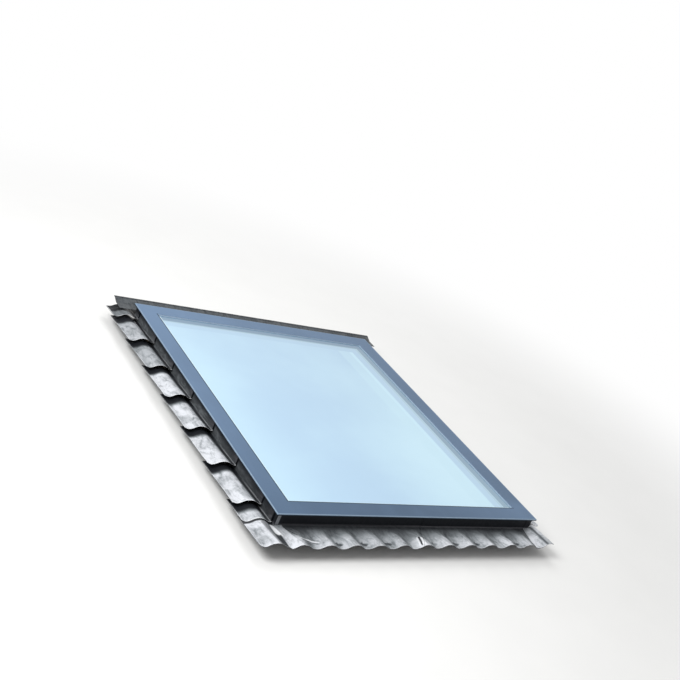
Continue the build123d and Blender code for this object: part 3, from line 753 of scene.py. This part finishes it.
    def side_edges(self, colour):
        """A side sheet's edges: painted shadow at the upstand's end, rubbed and highlit on the flat
        and fold.
        """
        outer = self.low.x if self.on_left else -self.high.x
        across = self.x if self.on_left else -self.x
        inward = self.y - self.low.y
        edge = inward.ease(0.007, 0.002).most((across - outer).ease(0.008, 0.002))
        fold = self.aside.ease(0.004, 0.006) * self.aside.ease(0.013, 0.010)
        rubbed_and_lit = (edge * self.up).most(fold * 0.30 * self.up * inward.ease(0.25, 0.10))
        smeared = (1.0 - self.up) * inward.ease(0.09, 0.02) * (0.2 + self.smears * 0.4)
        colour = self.blend(colour, self.values.smear, smeared)
        # Painted shadow along the upstand's end
        cut = (1.0 - self.up) * inward.ease(0.012, 0.007)
        return self.blend(colour, self.values.cut, cut), rubbed_and_lit

    def apron_edges(self, colour):
        """The apron's rubbed, highlit tail, painted shadow under the first soaker, and fold
        highlight.
        """
        rubbed_and_lit = self.ahead.ease(0.176, 0.181) * self.up
        # A painted highlight along the right corner piece's outer edge, which faces from the light
        if self.sheet == "apron_corner_right":
            rubbed_and_lit = rubbed_and_lit.most((self.high.x - self.x).ease(0.045, 0.012) * self.up)
        if "corner" in self.sheet:
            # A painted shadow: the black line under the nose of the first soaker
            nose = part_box(self.sheet.split("_")[-1] + "_soaker_1")[0].y
            below = (self.y - nose).ease(-0.016, -0.010) * self.aside.ease(0.0, 0.004) * self.up
            colour = self.blend(colour, self.values.cut, below * 0.9)
        if self.on_apron:
            # The lead that wraps the kerb's left corner, and a painted highlight along the apron's
            # fold
            past = self.x - MIDDLE_X + KERB_HALF_W
            wrap = past.ease(-0.005, -0.003) * past.ease(0.017, 0.013) * (-self.ny).ease(0.5, 0.8)
            colour = self.blend(colour, self.values.wrapped, wrap * 0.8)
            lit = 0.45 + self.x.ease(-0.2, 0.1) * 0.5
            seam = (1.0 - self.up) * self.z.ease(0.081, 0.076) * lit
            colour = self.blend(colour, self.values.seam, seam)
        return colour, rubbed_and_lit

    def stroke(self, start, end, width):
        """1 along a line from start to end, 0 beyond its half width."""
        run = Vector(end) - Vector(start)
        x, y = self.x - start[0], self.y - start[1]
        along = ((x * run.x + y * run.y) / run.length_squared).clamped()
        off = (x - along * run.x) ** 2.0 + (y - along * run.y) ** 2.0
        return off.ease(width**2, (width * 0.35) ** 2)


def ramp(value, length):
    """0 below 0, and 1 from length on."""
    return min(max(value / length, 0.0), 1.0)


class SKYLIGHT_OT_lead(bpy.types.Operator):
    """Weathered lead on the soakers, the apron, the corner pieces and the back gutter"""

    bl_idname = "skylight.lead"
    bl_label = "Lead flashings"

    def execute(self, context):
        values = context.scene.skylight_lead
        sheets = starting("left_soaker", "right_soaker", "upper_corner", "apron", "back_gutter")
        for number, name in enumerate(sheets):
            piece = self.dressed(values, name)
            lead = LeadFinish(values, name, number)
            lead.dress()
            piece.data.materials.append(lead.material)
        return {"FINISHED"}

    def dressed(self, values, name):
        """A copy of a sheet with a finer mesh, knocked about as by a dressing tool."""
        form = bmesh.new()
        form.from_mesh(NODES[name].data)
        bmesh.ops.remove_doubles(form, verts=form.verts, dist=SAME_POINT)
        form.normal_update()
        self.divide(form, *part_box(name), values.grid)
        bmesh.ops.triangulate(form, faces=[f for f in form.faces if len(f.verts) > 4])
        for vert in form.verts:
            vert.co += self.knock(vert.co, values.knock)
        form.normal_update()
        for face in form.faces:
            face.smooth = True
        for edge in form.edges:
            edge.smooth = edge.is_manifold and edge.calc_face_angle(0.0) < SHARP_EDGE
        mesh = bpy.data.meshes.new("dressed_" + name)
        form.to_mesh(mesh)
        form.free()
        piece = bpy.data.objects.new("dressed_" + name, mesh)
        bpy.context.scene.collection.objects.link(piece)
        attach(piece, "root")
        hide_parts(name)
        return piece

    def divide(self, form, low, high, grid):
        """Cut a sheet into a grid. The level cuts only go through its upstands."""
        for axis in (2, 0, 1):
            level = axis == 2
            across = Vector([float(i == axis) for i in range(3)])
            count = int((high[axis] - low[axis]) / grid)
            for i in range(1, count + 1):
                place = across * (low[axis] + (high[axis] - low[axis]) * i / (count + 1))
                faces = [f for f in form.faces if not level or abs(f.normal.z) < 0.5]
                edges = {e for f in faces for e in f.edges} if level else form.edges[:]
                verts = {v for e in edges for v in e.verts} if level else form.verts[:]
                bmesh.ops.bisect_plane(
                    form,
                    geom=[*verts, *edges, *faces],
                    dist=SAME_POINT,
                    plane_co=place,
                    plane_no=across,
                )

    def knock(self, place, size):
        """How far the tool has moved the lead at a place. Lapped sheets move together."""
        x, y, z = place
        aside = abs(x - MIDDLE_X) - KERB_HALF_W
        ahead = MIDDLE_Y - KERB_HALF_L - y
        behind = y - MIDDLE_Y - KERB_HALF_L
        free = ramp(max(aside, ahead, behind) - FREE_FROM, FREE_WITHIN)
        free *= ramp(FREE_BELOW - z, FREE_DOWN)
        dent = free * size
        # Coarse and fine dents. The numbers are cells of noise in a metre.
        shift = Vector((0.0, 0.0, dent * noise.noise(Vector((x * 16, y * 11, z * 4)))))
        shift.z += dent * 0.5 * noise.noise(Vector((x * 45, y * 38, 7.0)))
        if free < 1.0 and z > BOW_ABOVE and behind < 0.0:
            # Upstands only bow outward, away from the kerb
            bow = (1.0 - free) * BOW * (1.0 + noise.noise(Vector((x * 3, y * 9, z * 14))))
            if aside > ahead:
                shift.x += bow if x > MIDDLE_X else -bow
            else:
                shift.y -= bow
        for start, end, width, height in PLEATS:
            run = Vector(end) - Vector(start)
            here = Vector((x, y)) - Vector(start)
            along = here.dot(run) / run.length_squared
            # A pleat dies away beyond its ends
            ends = 1.0 - max(0.0, abs(along - 0.5) - 0.3) / 0.3
            if free > 0.0 and -0.3 < along < 1.3 and ends > 0.0:
                off = (here - run * along).length
                shift.z += height * free * min(ends, 1.0) * math.exp(-((off / width) ** 2))
        return shift


class SKYLIGHT_OT_stage(bpy.types.Operator):
    """Pale floor, soft studio light and the camera"""

    bl_idname = "skylight.stage"
    bl_label = "Stage"

    def execute(self, context):
        values = context.scene.skylight_stage
        self.lay_floor(context.scene, values)
        self.light(context.scene, values)
        self.place_camera(context.scene, values)
        context.scene.view_settings.view_transform = "Standard"
        return {"FINISHED"}

    def lay_floor(self, scene, values):
        """A disc that keeps the object's shadow and fades to white further out."""
        mesh = bpy.data.meshes.new("studio_floor")
        disc = bmesh.new()
        bmesh.ops.create_circle(disc, cap_ends=True, segments=96, radius=FLOOR_RADIUS)
        disc.to_mesh(mesh)
        disc.free()
        floor = bpy.data.objects.new("studio_floor", mesh)
        scene.collection.objects.link(floor)
        pale = Finish("pale_floor")
        x, y, _ = pale.axes()
        far = ((x * x + y * y) ** 0.5).ease(*FLOOR_FADE)
        paper = pale.noise(3.0, 3.0, 0.5)
        matt = pale.principled(
            base_color=pale.blend(values.floor, PAPER_SHADE, paper), roughness=0.9
        )
        glow = pale.node("ShaderNodeEmission", inputs={"Color": WHITE, "Strength": 1.0})
        pale.show(pale.mix(far * pale.backdrop_rays(), matt, glow))
        mesh.materials.append(pale.material)

    def light(self, scene, values):
        """An even light that shows as white, and two soft lamps."""
        scene.world = bpy.data.worlds.new("studio_light")
        scene.world.use_nodes = True
        room = Shader(scene.world.node_tree)
        soft = {"Color": WHITE, "Strength": values.daylight}
        full = {"Color": WHITE, "Strength": 1.0}
        shown = room.mix(
            room.backdrop_rays(),
            room.node("ShaderNodeBackground", inputs=soft),
            room.node("ShaderNodeBackground", inputs=full),
        )
        room.node("ShaderNodeOutputWorld", inputs={"Surface": shown})
        for name, place, size, power in LAMPS:
            lamp = bpy.data.lights.new(name, "AREA")
            lamp.shape = "DISK"
            lamp.size = size
            lamp.energy = power
            holder = bpy.data.objects.new(name, lamp)
            holder.location = place
            holder.rotation_mode = "QUATERNION"
            holder.rotation_quaternion = (-Vector(place)).to_track_quat("-Z", "Y")
            # The lamps' discs would show as hard shapes in the glass
            holder.visible_glossy = False
            scene.collection.objects.link(holder)

    def place_camera(self, scene, values):
        lens = bpy.data.cameras.new("photo_camera")
        lens.sensor_width = SENSOR_WIDTH
        lens.lens = values.lens
        lens.shift_x, lens.shift_y = CAMERA_SHIFT
        camera = bpy.data.objects.new("photo_camera", lens)
        turn = Matrix(CAMERA_AXES).transposed()
        camera.matrix_world = Matrix.Translation(CAMERA_PLACE) @ turn.to_4x4()
        scene.collection.objects.link(camera)
        scene.camera = camera


# ---------------------------------------------------------------- panel and registration
class SKYLIGHT_PT_panel(bpy.types.Panel):
    """Lists the skylight's pieces and their values"""

    bl_idname = "SKYLIGHT_PT_panel"
    bl_label = "Skylight"
    bl_space_type = "VIEW_3D"
    bl_region_type = "UI"
    bl_category = "Skylight"

    def draw(self, context):
        for step, group in PARTS:
            box = self.layout.box()
            box.operator(step.bl_idname, text=step.bl_label)
            if group:
                held = getattr(context.scene, group)
                for key in held.__annotations__:
                    box.prop(held, key)


# The operators in the order in which they run, each with the name of its values
PARTS = (
    (SKYLIGHT_OT_frame, "skylight_frame"),
    (SKYLIGHT_OT_glass, "skylight_glass"),
    (SKYLIGHT_OT_kerb, "skylight_kerb"),
    (SKYLIGHT_OT_fixings, None),
    (SKYLIGHT_OT_lead, "skylight_lead"),
    (SKYLIGHT_OT_stage, "skylight_stage"),
)
GROUPS = {
    "skylight_frame": SkylightFrameValues,
    "skylight_glass": SkylightGlassValues,
    "skylight_kerb": SkylightKerbValues,
    "skylight_lead": SkylightLeadValues,
    "skylight_stage": SkylightStageValues,
}
CLASSES = (*GROUPS.values(), *(step for step, _ in PARTS), SKYLIGHT_PT_panel)


def register():
    for cls in CLASSES:
        bpy.utils.register_class(cls)
    for name, group in GROUPS.items():
        setattr(bpy.types.Scene, name, bpy.props.PointerProperty(type=group))


def unregister():
    for name in GROUPS:
        delattr(bpy.types.Scene, name)
    for cls in reversed(CLASSES):
        bpy.utils.unregister_class(cls)


def main():
    register()
    for step, _ in PARTS:
        area, name = step.bl_idname.split(".")
        getattr(getattr(bpy.ops, area), name)()


if __name__ == "__main__":
    main()
